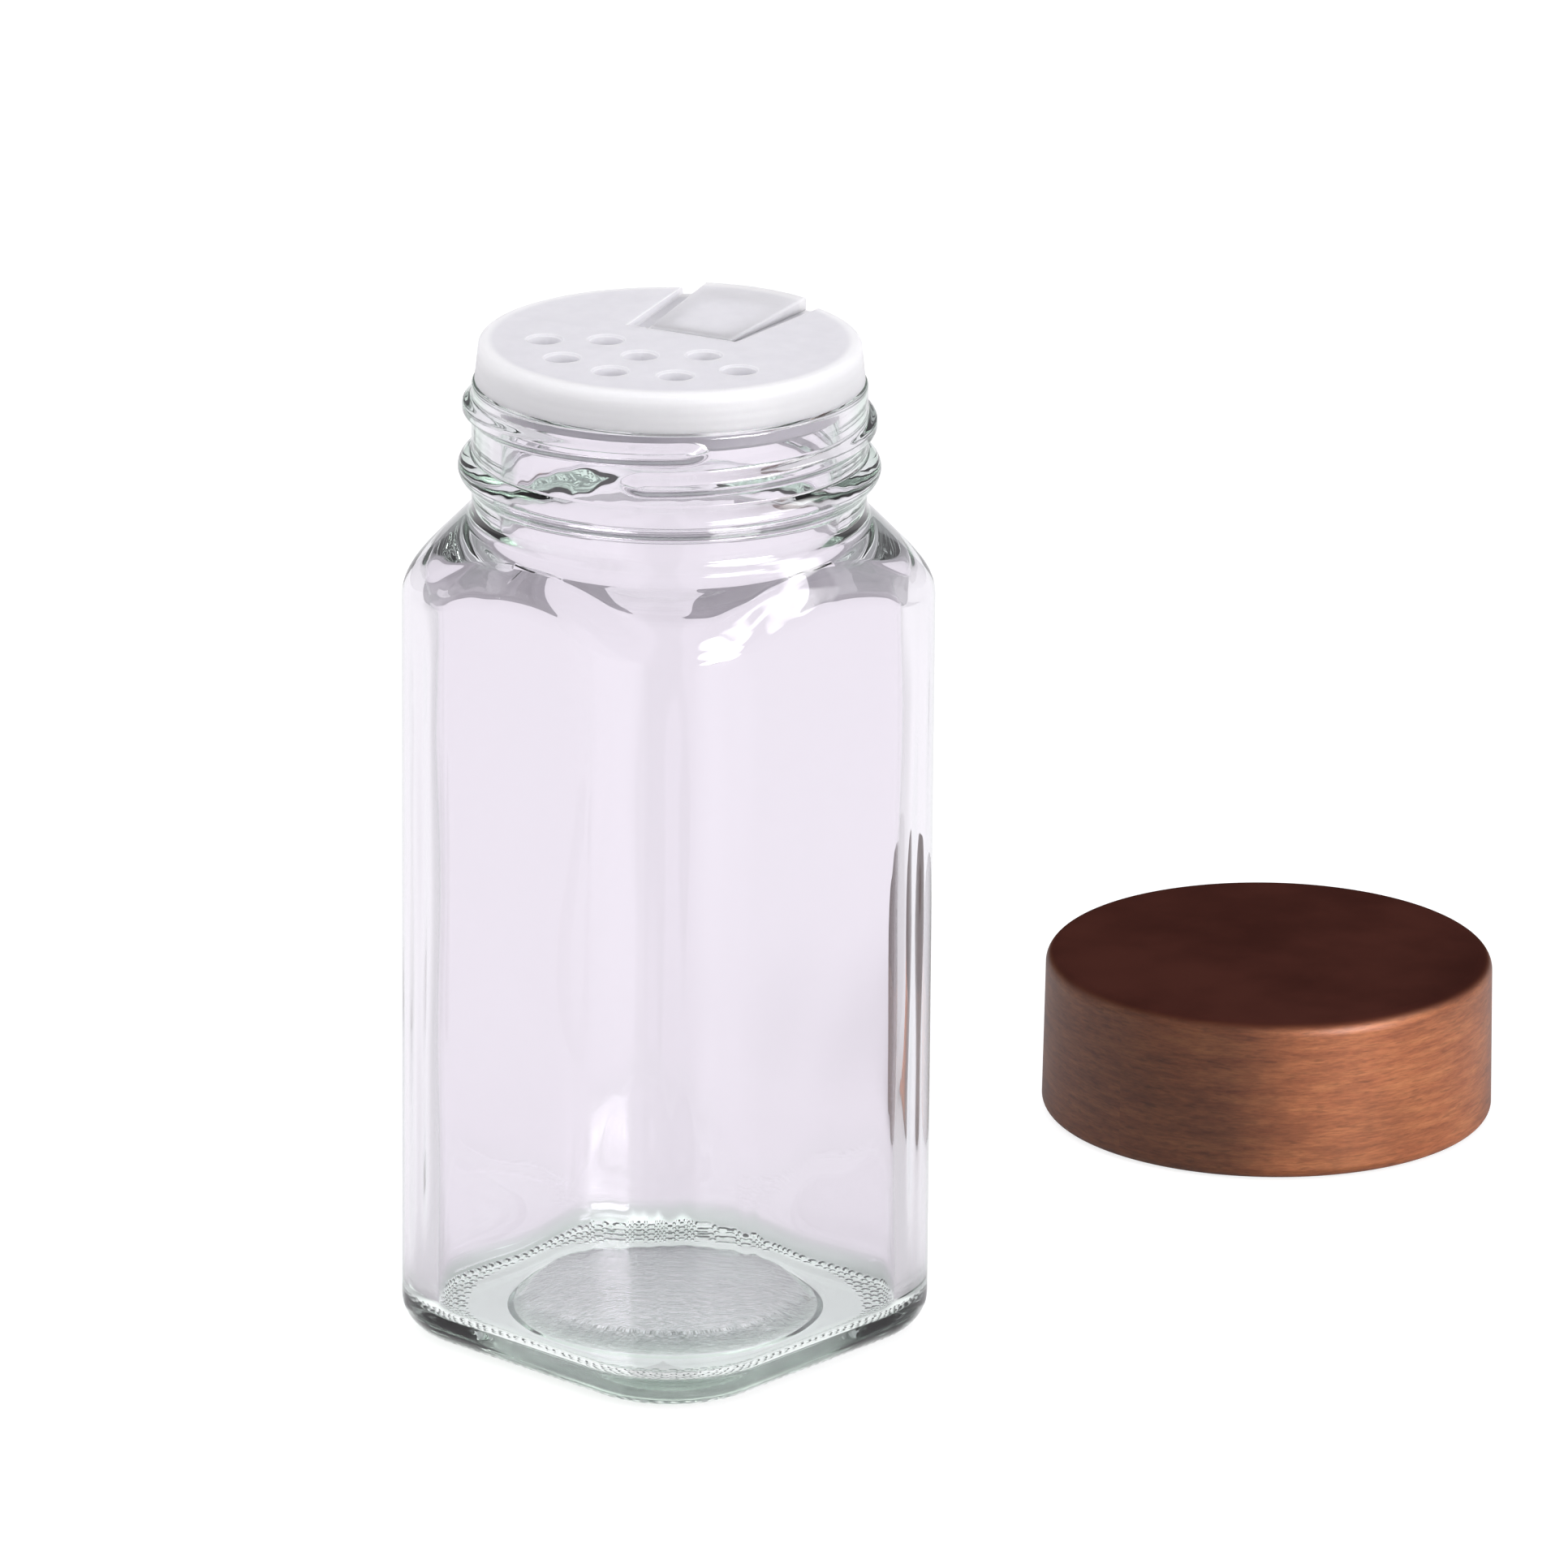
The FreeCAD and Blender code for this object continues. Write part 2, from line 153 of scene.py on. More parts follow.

# Cap. Painted light and shade on the wood's side: it is painted lighter, as a painted sheen, on the side
# towards the light, and darker on the far side. The wood is plainer on the top
CAP_CENTRE = (0.0936, -0.0017, 0)
CAP_RADIUS = 0.0242
PAINTED_LIGHT_WAY = (38, 0)
PAINTED_LIGHT_RANGE = (0.55, 1.6)
WOOD_SIDE = [
    (0.25, (0.10, 0.027, 0.011)),
    (0.5, (0.165, 0.054, 0.021)),
    (0.75, (0.235, 0.088, 0.034)),
]
WOOD_TOP = [(0.3, (0.038, 0.011, 0.0082)), (0.7, (0.047, 0.0145, 0.0105))]
TOP_LINES = 0.95
TOP_SHADE = 0.85
COAT_SIDE = 0.7
COAT_TOP = 0.02
WOOD_GRAIN_DEPTH = 0.00004
LINER_TONES = [(0.3, (0.66, 0.64, 0.6)), (0.7, (0.74, 0.72, 0.68))]
LINER_GRAIN_DEPTH = 0.00002
FOAM_TONES = [(0.0, (0.72, 0.72, 0.71)), (0.8, (0.83, 0.83, 0.82))]
FOAM_CELLS = 3200.0
FOAM_DEPTH = 0.0001

# Floor: its tones to the camera, how bright it is in the glass, the painted pool of light under the jar,
# the painted shade of a dim wedge of it between the jar and the camera, and the bearings between which it
# is painted dimmer on both sides
FLOOR_HALF = 3.0
FLOOR_DROP = 0.0001
FLOOR_PALE = (0.3, 0.3, 0.3, 1)
FLOOR_WHITE = 0.78
FLOOR_LIT = 0.595
FLOOR_GLOW = 0.13
FLOOR_GLOW_UNDER = 0.75
FLOOR_DIM = 0.38
WEDGE_TIP = 0.0154
WEDGE_LEFT = (-30, -24)
WEDGE_RIGHT = (34, 16)
SIDE_DIM = 0.25
SIDE_FROM = (60, 85)
SIDE_TO = (140, 115)

# Sky: bearing and height of each soft bright patch, its half width and half height, and its strength
SKY_SPOTS = [
    ((44, 22), 24, 13, 24.0),
    ((42, 6), 22, 7, 48.0),
    ((74, 36), 17, 10, 7.0),
    ((99, 46), 17, 10, 8.0),
]
SKY_TONES = [(0.0, (0.38, 0.37, 0.395)), (0.8, (0.72, 0.71, 0.74))]
SKY_LEFT = 0.4
SPOT_SHARE = 0.04
SKY_FILL_LEFT = 1.2
SKY_FILL_RIGHT = 0.5

# Key lamp
KEY_WAY = (50, 24)
KEY_AIM = (0.02, -0.02, 0.05)
KEY_DISTANCE = 1.1
KEY_SIZE = (0.4, 0.3)
KEY_POWER = 5.5


def towards(azimuth, elevation):
    """A direction by its bearing from the camera's and its height, both in degrees."""
    turn, rise = math.radians(CAMERA_AZIMUTH + azimuth), math.radians(elevation)
    return Vector((math.sin(turn) * math.cos(rise), -math.cos(turn) * math.cos(rise), math.sin(rise)))


# Camera


def add_camera():
    """The camera that sees the jar and the cap as the photo does."""
    back = towards(0, CAMERA_ELEVATION)
    place = Vector((0, 0, CAMERA_PIVOT_HEIGHT)) + back * CAMERA_DISTANCE
    aim = towards(90, 0) * AIM_RIGHT + Vector((0, 0, AIM_HEIGHT))
    data = bpy.data.cameras.new("camera")
    data.sensor_width = SENSOR_MM
    data.lens = FOCAL_PIXELS / IMAGE_PIXELS * SENSOR_MM
    camera = bpy.data.objects.new("camera", data)
    bpy.context.scene.collection.objects.link(camera)
    camera.location = place
    camera.rotation_mode = "QUATERNION"
    look = (aim - place).to_track_quat("-Z", "Y")
    camera.rotation_quaternion = look @ Quaternion((0, 0, 1), math.radians(CAMERA_ROLL))
    bpy.context.scene.camera = camera


# Glass jar: rings of points about the z axis, each a radius and a height at every bearing


BEARING = np.radians(np.arange(BEARINGS) * 360 / BEARINGS)


def square_radius(half, corner):
    """The distance from the axis to a rounded square, at every bearing."""
    quarter = np.abs((BEARING + math.pi / 4) % (math.pi / 2) - math.pi / 4)
    flat = half - corner
    on_side = half / np.cos(quarter)
    inside = np.maximum(corner ** 2 - flat ** 2 * (1 - np.sin(2 * quarter)), 0)
    on_corner = flat * (np.cos(quarter) + np.sin(quarter)) + np.sqrt(inside)
    return np.where(half * np.tan(quarter) <= flat, on_side, on_corner)


def ring(radius, height):
    """A radius and a height at every bearing, from one value or from one for each."""
    return np.broadcast_to(radius, BEARINGS), np.broadcast_to(height, BEARINGS)


def between(first, last, steps):
    """Rings from after the first one up to the last one, evenly spaced."""
    made = []
    for k in range(1, steps + 1):
        made.append(tuple(a + (b - a) * k / steps for a, b in zip(first, last)))
    return made


def arc_rings(radius, height, arc, start, end, steps):
    """Rings along an arc about a point in the plane of radius and height, from one angle to another."""
    made = []
    for k in range(1, steps + 1):
        turn = math.radians(start + (end - start) * k / steps)
        made.append(ring(radius + arc * math.cos(turn), height + arc * math.sin(turn)))
    return made


def corner_rings(half, corner, radius, height, steps):
    """The rounded edge between a flat below and an upright rounded square above."""
    made = []
    for k in range(1, steps + 1):
        turn = math.radians(90 * k / steps)
        cut = radius * (1 - math.sin(turn))
        made.append(ring(square_radius(half - cut, corner - cut), height + radius * (1 - math.cos(turn))))
    return made


def bead(height):
    """How far the bead below the thread stands out at a height."""
    across = min(abs(height - BEAD_HEIGHT) / BEAD_HALF, 1)
    return BEAD_SWELL * (1 - across ** 2) ** 0.9


def thread(height):
    """How far the screw thread stands out at a height, at every bearing."""
    stands = np.zeros(BEARINGS)
    for turn in range(-1, 3):
        along = BEARING - math.radians(THREAD_START_BEARING) + turn * 2 * math.pi
        nearest = np.clip(along, 0, math.radians(THREAD_SWEEP))
        middle = THREAD_START_HEIGHT + THREAD_LEAD * nearest / (2 * math.pi)
        past_end = (along - nearest) * NECK_RADIUS / THREAD_END_STRETCH
        distance = np.hypot(past_end, height - middle)
        share = np.clip((THREAD_BASE_HALF - distance) / (THREAD_BASE_HALF - THREAD_CREST_HALF), 0, 1)
        stands = np.maximum(stands, THREAD_DEPTH * share ** 2 * (3 - 2 * share))
    return stands


def waves(height):
    """The slight unevenness of the blown inside wall."""
    slow = np.sin(2 * BEARING + 0.7) * math.sin(height / 16) + np.sin(3 * BEARING - height / 21)
    fast = 0.4 * np.sin(7 * BEARING + height / 9) + 0.3 * np.sin(11 * BEARING - height / 5)
    return WAVE_DEPTH * (slow + fast)


def ripples(height):
    """Upright streaks in the inside wall, in the corners."""
    from_corner = np.abs((BEARING % (math.pi / 2)) - math.pi / 4)
    near = np.clip(1 - from_corner / math.radians(RIPPLE_REACH), 0, 1)
    lines = np.sin(44 * BEARING + height / 40) + np.sin(57 * BEARING - height / 70 + 1.3)
    return RIPPLE_DEPTH * near * lines


def dimples(height):
    """The uneven inside of the shoulder."""
    broad = np.sin(7 * BEARING + height / 2.3 + 0.4) + np.sin(11 * BEARING - height / 3.1 + 1.7)
    fine = np.sin(19 * BEARING + height / 1.1) + np.sin(30 * BEARING - height / 0.8 + 2.1)
    return DIMPLE_DEPTH * (2 * broad + fine * (1 + np.sin(3 * BEARING + 0.9)))


def underside_rings():
    """From the middle of the push-up out to the foot and round the heel."""
    inner = PUSH_UP_RADIUS - PUSH_UP_LIP
    made = []
    for share in np.linspace(0, 1, 17)[1:]:
        made.append(ring(inner * share, PUSH_UP_STEP + PUSH_UP_RISE * (1 - share ** 2)))
    for share in np.linspace(0, 1, 11)[1:]:
        step = PUSH_UP_STEP * (1 - share * share * (3 - 2 * share))
        made.append(ring(inner + PUSH_UP_LIP * share, step))
    foot = ring(square_radius(BODY_HALF - HEEL_RADIUS, BODY_CORNER - HEEL_RADIUS), 0)
    made += between(made[-1], foot, 6)
    return made + corner_rings(BODY_HALF, BODY_CORNER, HEEL_RADIUS, 0, 16)


def shoulder_rings(side, neck_radius, neck_height, angle, low_radius, high_radius, start, wall_steps):
    """From the top of the heel up the wall and over the shoulder, with an arc at both of its ends."""
    slope = math.radians(angle)
    turn = math.radians(90 - angle)
    meet = neck_height - (side - neck_radius) * math.tan(slope)
    low = low_radius * math.tan(turn / 2)
    high = high_radius * math.tan(turn / 2)
    made = between(start, ring(side, meet - low), wall_steps)
    for share in np.linspace(0, 1, 15)[1:]:
        radius = side - low_radius * (1 - math.cos(turn * share))
        made.append(ring(radius, meet - low + low_radius * math.sin(turn * share)))
    top = ring(neck_radius + high * math.cos(slope), neck_height - high * math.sin(slope))
    made += between(made[-1], top, 8)
    for share in np.linspace(1, 0, 11)[1:]:
        radius = neck_radius + high_radius * (1 - math.cos(turn * share))
        made.append(ring(radius, neck_height + high - high_radius * math.sin(turn * share)))
    return made


def neck_rings(start_height):
    """From the shoulder up the neck, over the bead and the thread."""
    low, high = BEAD_HEIGHT - BEAD_HALF, BEAD_HEIGHT + BEAD_HALF
    made = [ring(NECK_RADIUS, h) for h in np.linspace(start_height, low, 4)[1:]]
    made += [ring(NECK_RADIUS + bead(h), h) for h in np.linspace(low, high, 21)[1:]]
    return made + [ring(NECK_RADIUS + thread(h), h) for h in np.linspace(*THREAD_ZONE, 48)]


def lip_rings():
    """The step, the lip, the rim and its inner edge."""
    made = arc_rings(NECK_RADIUS - STEP_ROUND, STEP_HEIGHT - STEP_ROUND, STEP_ROUND, 0, 90, 5)
    made += arc_rings(LIP_RADIUS + STEP_ROUND, STEP_HEIGHT + STEP_ROUND, STEP_ROUND, 270, 180, 5)
    made += arc_rings(LIP_RADIUS - LIP_ROUND, RIM_HEIGHT - LIP_ROUND, LIP_ROUND, 0, 90, 6)
    return made + arc_rings(BORE_RADIUS + LIP_ROUND, RIM_HEIGHT - LIP_ROUND, LIP_ROUND, 90, 180, 6)


def mound(radius):
    """How far the floor inside stands up over the push-up."""
    edge = min((MOUND_RADIUS - radius) / MOUND_EDGE, 1)
    return MOUND_RISE * (0.55 * edge * edge * (3 - 2 * edge) + 0.45 * (1 - (radius / MOUND_RADIUS) ** 2))


def bore_streaks(height):
    """Upright streaks in the neck's bore, which only widen it."""
    lines = np.sin(31 * BEARING + height / 3) + np.sin(47 * BEARING - height / 4 + 0.8) + 2
    return BORE_STREAK_DEPTH * lines


def fade_between(height, low, low_fade, high, high_fade):
    """A share that rises from 0 above one height and falls back to 0 below another."""
    return np.clip((height - low) / low_fade, 0, 1) * np.clip((high - height) / high_fade, 0, 1)


def inside_rings():
    """From the middle of the floor up the inside wall to the neck bore."""
    flat = ring(square_radius(CAVITY_HALF - FLOOR_RADIUS, CAVITY_CORNER - FLOOR_RADIUS), FLOOR_HEIGHT)
    made = [ring(radius, FLOOR_HEIGHT + mound(radius)) for radius in np.linspace(0, MOUND_RADIUS, 31)[1:]]
    made += between(made[-1], flat, 4)
    made += corner_rings(CAVITY_HALF, CAVITY_CORNER, FLOOR_RADIUS, FLOOR_HEIGHT, 14)
    side = square_radius(CAVITY_HALF, CAVITY_CORNER)
    neck_height = NECK_BASE - SHOULDER_THICKNESS
    shoulder = shoulder_rings(
        side, BORE_RADIUS, neck_height, INNER_SHOULDER_ANGLE, INNER_SHOULDER_RADIUS, INNER_NECK_RADIUS,
        made[-1], 24,
    )
    wave_zone = (FLOOR_HEIGHT + FLOOR_RADIUS, WAVE_FADE, neck_height - WAVE_END, WAVE_FADE)
    dimple_low, dimple_high = [neck_height - below for below in DIMPLE_ZONE]
    dimple_zone = (dimple_low, DIMPLE_FADE[0], dimple_high, DIMPLE_FADE[1])
    for radius, height in shoulder:
        level = float(height.mean())
        uneven = fade_between(height, *wave_zone) * (waves(level) + ripples(level))
        uneven = uneven + fade_between(height, *dimple_zone) * dimples(level)
        made.append((radius + uneven, height))
    low = made[-1][1].max()
    for height in np.linspace(low, PLUG_BOTTOM, 14)[1:]:
        fade = math.sin(math.pi * (height - low) / (PLUG_BOTTOM - low))
        made.append(ring(BORE_RADIUS + fade * bore_streaks(height), height))
    return made + [ring(BORE_RADIUS, h) for h in np.linspace(PLUG_BOTTOM, RIM_HEIGHT - LIP_ROUND, 4)[1:-1]]


def lathe_mesh(name, rings, first_height, last_height):
    """A closed smooth mesh through the rings, with a point on the axis at both ends."""
    count = len(rings)
    points = np.zeros((count, BEARINGS, 3))
    for k, (radius, height) in enumerate(rings):
        points[k, :, 0] = radius * np.cos(BEARING)
        points[k, :, 1] = radius * np.sin(BEARING)
        points[k, :, 2] = height
    poles = np.array([[0, 0, first_height], [0, 0, last_height]])
    vertices = np.concatenate([points.reshape(-1, 3), poles]) * MM
    here = np.arange(BEARINGS)
    there = (here + 1) % BEARINGS
    rows = np.arange(count - 1)[:, None] * BEARINGS
    quads = np.stack([rows + here, rows + there, rows + BEARINGS + there, rows + BEARINGS + here], -1)
    first, last = count * BEARINGS, count * BEARINGS + 1
    top = (count - 1) * BEARINGS
    faces = [tuple(q) for q in quads.reshape(-1, 4).tolist()]
    faces += [(first, int(b), int(a)) for a, b in zip(here, there)]
    faces += [(last, int(top + a), int(top + b)) for a, b in zip(here, there)]
    mesh = bpy.data.meshes.new(name)
    mesh.from_pydata(vertices.tolist(), [], faces)
    mesh.polygons.foreach_set("use_smooth", [True] * len(mesh.polygons))
    piece = bpy.data.objects.new(name, mesh)
    bpy.context.scene.collection.objects.link(piece)
    return piece


def add_jar():
    """The glass jar, whose underside has a material of its own."""
    under = underside_rings()
    side = square_radius(BODY_HALF, BODY_CORNER)
    wall = shoulder_rings(
        side, NECK_RADIUS, NECK_BASE, SHOULDER_ANGLE, SHOULDER_RADIUS, NECK_FILLET, under[-1], 4,
    )
    neck = neck_rings(wall[-1][1].max())
    rings = under + wall + neck + lip_rings() + inside_rings()[::-1]
    piece = lathe_mesh("jar_glass", rings, PUSH_UP_STEP + PUSH_UP_RISE, FLOOR_HEIGHT + MOUND_RISE)
    piece.data.materials.append(wall_glass())
    piece.data.materials.append(base_glass())
    foot = (BODY_HALF - HEEL_RADIUS) * MM * math.sqrt(2)
    for face in piece.data.polygons:
        looks_down = face.normal.z < UNDERSIDE_SLOPE and face.center.z < UNDERSIDE_HEIGHT
        face.material_index = int(looks_down and face.center.xy.length < foot)
    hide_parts("glass_jar")
    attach(piece, "jar")


# Materials


def add_node(tree, kind, *inputs, named=None, output=0, **settings):
    """Adds a node with its settings, feeds its inputs with sockets or values, and returns an output."""
    node = tree.nodes.new(kind)
    for name, value in settings.items():
        setattr(node, name, value)
    for key, value in list(enumerate(inputs)) + list((named or {}).items()):
        if isinstance(value, bpy.types.NodeSocket):
            tree.links.new(value, node.inputs[key])
        elif value is not None:
            node.inputs[key].default_value = value
    return node.outputs[output]


def math_node(tree, operation, *inputs):
    """The result of one operation on one or two values."""
    return add_node(tree, "ShaderNodeMath", *inputs, operation=operation)


def product(tree, first, *factors):
    """All the values multiplied."""
    made = first
    for factor in factors:
        made = math_node(tree, "MULTIPLY", made, factor)
    return made


def one_minus(tree, value):
    return math_node(tree, "SUBTRACT", 1.0, value)


def spread_node(tree, value, low, high, to_low=0.0, to_high=1.0):
    """A value's range stretched smoothly to another one."""
    ends = (low, high, to_low, to_high)
    return add_node(tree, "ShaderNodeMapRange", value, *ends, interpolation_type="SMOOTHSTEP")


def ramp_node(tree, factor, stops):
    """A colour ramp through (position, colour) stops."""
    made = add_node(tree, "ShaderNodeValToRGB", factor)
    elements = made.node.color_ramp.elements
    for k, (position, colour) in enumerate(stops):
        element = elements[k] if k < 2 else elements.new(position)
        element.position = position
        element.color = (*colour, 1)
    return made


def mix_values(tree, factor, first, second):
    """From one value to another. The node's sockets share their names, so they go by number."""
    return add_node(tree, "ShaderNodeMix", factor, named={2: first, 3: second})


def mix_colours(tree, factor, first, second):
    """From one colour to another."""
    return add_node(tree, "ShaderNodeMix", factor, named={6: first, 7: second}, output=2, data_type="RGBA")


def part_of(tree, vector, axis):
    return add_node(tree, "ShaderNodeSeparateXYZ", vector, output=axis)


def reach(tree, vector, way):
    """How far a vector goes in a direction."""
    return add_node(tree, "ShaderNodeVectorMath", vector, way, operation="DOT_PRODUCT", output="Value")


def object_place(tree):
    return add_node(tree, "ShaderNodeTexCoord", output="Object")


def about_axis(tree, place):
    """A place without its height, and its distance from the z axis."""
    flat = add_node(tree, "ShaderNodeVectorMath", place, (1, 1, 0), operation="MULTIPLY")
    return flat, add_node(tree, "ShaderNodeVectorMath", flat, operation="LENGTH", output="Value")


def grain(tree, place, scales, detail=4.0, roughness=0.5, shift=(0, 0, 0)):
    """Noise from 0 to 1 with its own number of cells per metre along each axis."""
    shifted = add_node(tree, "ShaderNodeMapping", place, shift)
    stretched = add_node(tree, "ShaderNodeMapping", shifted, named={"Scale": scales})
    settings = {"Scale": 1.0, "Detail": detail, "Roughness": roughness}
    return add_node(tree, "ShaderNodeTexNoise", stretched, named=settings)


def new_material(name, **values):
    """A material with one Principled shader, whose sockets are named with underscores for spaces."""
    material = bpy.data.materials.new(name)
    material.use_nodes = True
    shader = material.node_tree.nodes["Principled BSDF"]
    for key, value in values.items():
        shader.inputs[key.replace("_", " ")].default_value = value
    return material, material.node_tree, shader


def add_bump(tree, shader, height, distance, strength):
    settings = {"Strength": strength, "Distance": distance, "Height": height}
    bump = add_node(tree, "ShaderNodeBump", named=settings)
    tree.links.new(bump, shader.inputs["Normal"])


def clear_glass(name="clear_glass", roughness=0.0):
    """Clear glass with a faint green depth. Lamps shine through it."""
    material, tree, shader = new_material(
        name, Base_Color=GLASS_CLEAR, Roughness=roughness, IOR=GLASS_IOR, Transmission_Weight=1.0,
    )
    output = tree.nodes["Material Output"]
    lamp = add_node(tree, "ShaderNodeLightPath", output="Is Shadow Ray")
    through = add_node(tree, "ShaderNodeBsdfTransparent", GLASS_TO_LAMPS)
    mixed = add_node(tree, "ShaderNodeMixShader", lamp, shader.outputs[0], through)
    tree.links.new(mixed, output.inputs["Surface"])
    depth = add_node(tree, "ShaderNodeVolumeAbsorption", GLASS_DEPTH, GLASS_DENSITY)
    tree.links.new(depth, output.inputs["Volume"])
    return material, tree, shader


def wall_glass():
    """Glass of the walls and the neck, greener at the edges of its thick parts."""
    material, tree, shader = clear_glass()
    slant = add_node(tree, "ShaderNodeLayerWeight", 0.5, output="Facing")
    height = part_of(tree, object_place(tree), "Z")
    neck = spread_node(tree, height, (NECK_BASE - 6) * MM, (NECK_BASE + 1) * MM)
    heel = spread_node(tree, height, 1.4 * HEEL_RADIUS * MM, 0.7 * HEEL_RADIUS * MM, 0.0, HEEL_GREEN)
    edge = product(tree, spread_node(tree, slant, *GREEN_SLANT), neck)
    colour = mix_colours(tree, math_node(tree, "MAXIMUM", edge, heel), GLASS_CLEAR, GLASS_GREEN)
    colour = mix_colours(tree, spread_node(tree, slant, *DARK_SLANT), colour, GLASS_SLANTED)
    tree.links.new(colour, shader.inputs["Base Color"])
    return material


def base_glass():
    """The underside: grainy in the push-up, and stippled on the flat around it, with a painted highlight
    and painted shade on each dot.
    """
    material, tree, shader = clear_glass("base_glass", BASE_ROUGHNESS)
    place = object_place(tree)
    flat, radius = about_axis(tree, place)
    dotted = spread_node(tree, radius, *[r * MM for r in STIPPLE_FROM])
    cast = spread_node(tree, radius, (PUSH_UP_RADIUS - 0.2) * MM, (PUSH_UP_RADIUS - 1.2) * MM)
    settings = {"Scale": 1000 / STIPPLE_PITCH, "Randomness": STIPPLE_SPREAD}
    dots = add_node(tree, "ShaderNodeTexVoronoi", flat, named=settings, voronoi_dimensions="2D")
    rough = grain(tree, place, (1300, 1300, 1300), detail=6.0, roughness=0.7)
    bumps = product(tree, spread_node(tree, dots, 0.45, 0.1), dotted)
    height = math_node(tree, "ADD", bumps, product(tree, rough, cast, CAST_SHARE))
    add_bump(tree, shader, height, STIPPLE_DEPTH, 1.0)
    # Painted highlight and painted shade on each stipple dot
    around = mix_colours(tree, dotted, (*BASE_PLAIN, 1), ramp_node(tree, dots, STIPPLE_PAINTED_LIGHT))
    colour = mix_colours(tree, cast, around, ramp_node(tree, rough, BASE_CLOUDS))
    tree.links.new(colour, shader.inputs["Base Color"])
    return material


def frosted_plastic():
    """Milky plastic with fine lines round its side, with a painted highlight at its rim band and along its
    rounded edges.
    """
    material, tree, shader = new_material(
        "frosted_plastic", Roughness=0.5, Subsurface_Weight=0.8, Subsurface_Radius=(1.0, 1.0, 1.0),
        Subsurface_Scale=0.006, IOR=1.45, Transmission_Weight=0.3,
    )
    place = object_place(tree)
    radius = about_axis(tree, place)[1]
    # Painted highlight: a lighter colour in a band round the rim and along the rounded edges
    rim = spread_node(tree, radius, DISC_RADIUS - RIM_BAND * 1.4, DISC_RADIUS - RIM_BAND * 0.6)
    soft_normal = add_node(tree, "ShaderNodeBevel", PLASTIC_EDGE, samples=8)
    turn = reach(tree, soft_normal, add_node(tree, "ShaderNodeNewGeometry", output="Normal"))
    light = math_node(tree, "MAXIMUM", rim, spread_node(tree, turn, 0.995, 0.9))
    cloud = grain(tree, place, (420, 420, 420), detail=6.0, roughness=0.6)
    colour = mix_colours(tree, light, ramp_node(tree, cloud, PLASTIC_DULL), PLASTIC_PAINTED_HIGHLIGHT)
    tree.links.new(colour, shader.inputs["Base Color"])
    turns = product(tree, part_of(tree, place, "Z"), 2 * math.pi / SKIRT_LINE_PITCH)
    skirt = spread_node(tree, radius, DISC_RADIUS - RIM_BAND * 0.3, DISC_RADIUS, 0.0, SKIRT_LINE_WEIGHT)
    lines = product(tree, math_node(tree, "SINE", turns), skirt)
    frost = grain(tree, place, (9000, 9000, 9000), detail=2.0)
    add_bump(tree, shader, math_node(tree, "ADD", frost, lines), FROST_DEPTH, 0.35)
    return material


def stained_wood():
    """Dark stained wood with level grain, lacquered on its side and matt and darker on the top. Its side
    has painted light and a painted sheen towards one direction, and painted shade away from it.
    """
    material, tree, shader = new_material(
        "stained_wood", Specular_IOR_Level=0.0, Roughness=0.6, Coat_Roughness=0.42,
    )
    place = object_place(tree)
    normal = add_node(tree, "ShaderNodeTexCoord", output="Normal")
    on_top = spread_node(tree, part_of(tree, normal, "Z"), 0.3, 0.9)
    centred = add_node(tree, "ShaderNodeVectorMath", place, CAP_CENTRE, operation="SUBTRACT")
    x, y, z = [part_of(tree, centred, axis) for axis in "XYZ"]
    length = product(tree, math_node(tree, "ARCTAN2", y, x), CAP_RADIUS)
    wrapped = add_node(tree, "ShaderNodeCombineXYZ", length, y, z)
    streaks = grain(tree, wrapped, (130, 90, 1100), detail=6.0, roughness=0.66)
    fibres = grain(tree, wrapped, (700, 600, 5200), detail=3.0, roughness=0.6, shift=(0.3, 0, 0))
    pores = grain(tree, wrapped, (420, 300, 2600), detail=2.0, shift=(0.7, 0, 0))
    clouds = grain(tree, place, (70, 70, 90), detail=4.0, shift=(0, 0.4, 0))
    side = ramp_node(tree, streaks, WOOD_SIDE)
    colour = mix_colours(tree, on_top, side, ramp_node(tree, clouds, WOOD_TOP))
    mottle = spread_node(tree, clouds, 0.3, 0.7, 0.85, 1.12)
    fine = spread_node(tree, fibres, 0.3, 0.7, 0.82, 1.14)
    dashes = spread_node(tree, pores, 0.3, 0.42, 0.75, 1.0)
    lines = mix_values(tree, on_top, product(tree, fine, dashes), TOP_LINES)
    # Painted light and shade: the side of the cap towards the light is painted lighter, as a painted sheen,
    # and the far side darker; it turns with the cap
    facing = reach(tree, centred, towards(*PAINTED_LIGHT_WAY))
    pale = spread_node(tree, facing, 0.6 * CAP_RADIUS, 0.98 * CAP_RADIUS, *PAINTED_LIGHT_RANGE)
    shade = product(tree, mottle, lines, mix_values(tree, on_top, pale, TOP_SHADE))
    shaded = add_node(tree, "ShaderNodeVectorMath", colour, named={"Scale": shade}, operation="SCALE")
    tree.links.new(shaded, shader.inputs["Base Color"])
    tree.links.new(spread_node(tree, on_top, 0.0, 1.0, COAT_SIDE, COAT_TOP), shader.inputs["Coat Weight"])
    add_bump(tree, shader, product(tree, fibres, one_minus(tree, on_top)), WOOD_GRAIN_DEPTH, 0.5)
    return material


def moulded_plastic():
    """Plain off-white moulded plastic with a faint mottle."""
    material, tree, shader = new_material("moulded_plastic", Roughness=0.42)
    place = object_place(tree)
    tone = ramp_node(tree, grain(tree, place, (180, 180, 420)), LINER_TONES)
    tree.links.new(tone, shader.inputs["Base Color"])
    add_bump(tree, shader, grain(tree, place, (5000, 5000, 5000), detail=2.0), LINER_GRAIN_DEPTH, 0.3)
    return material


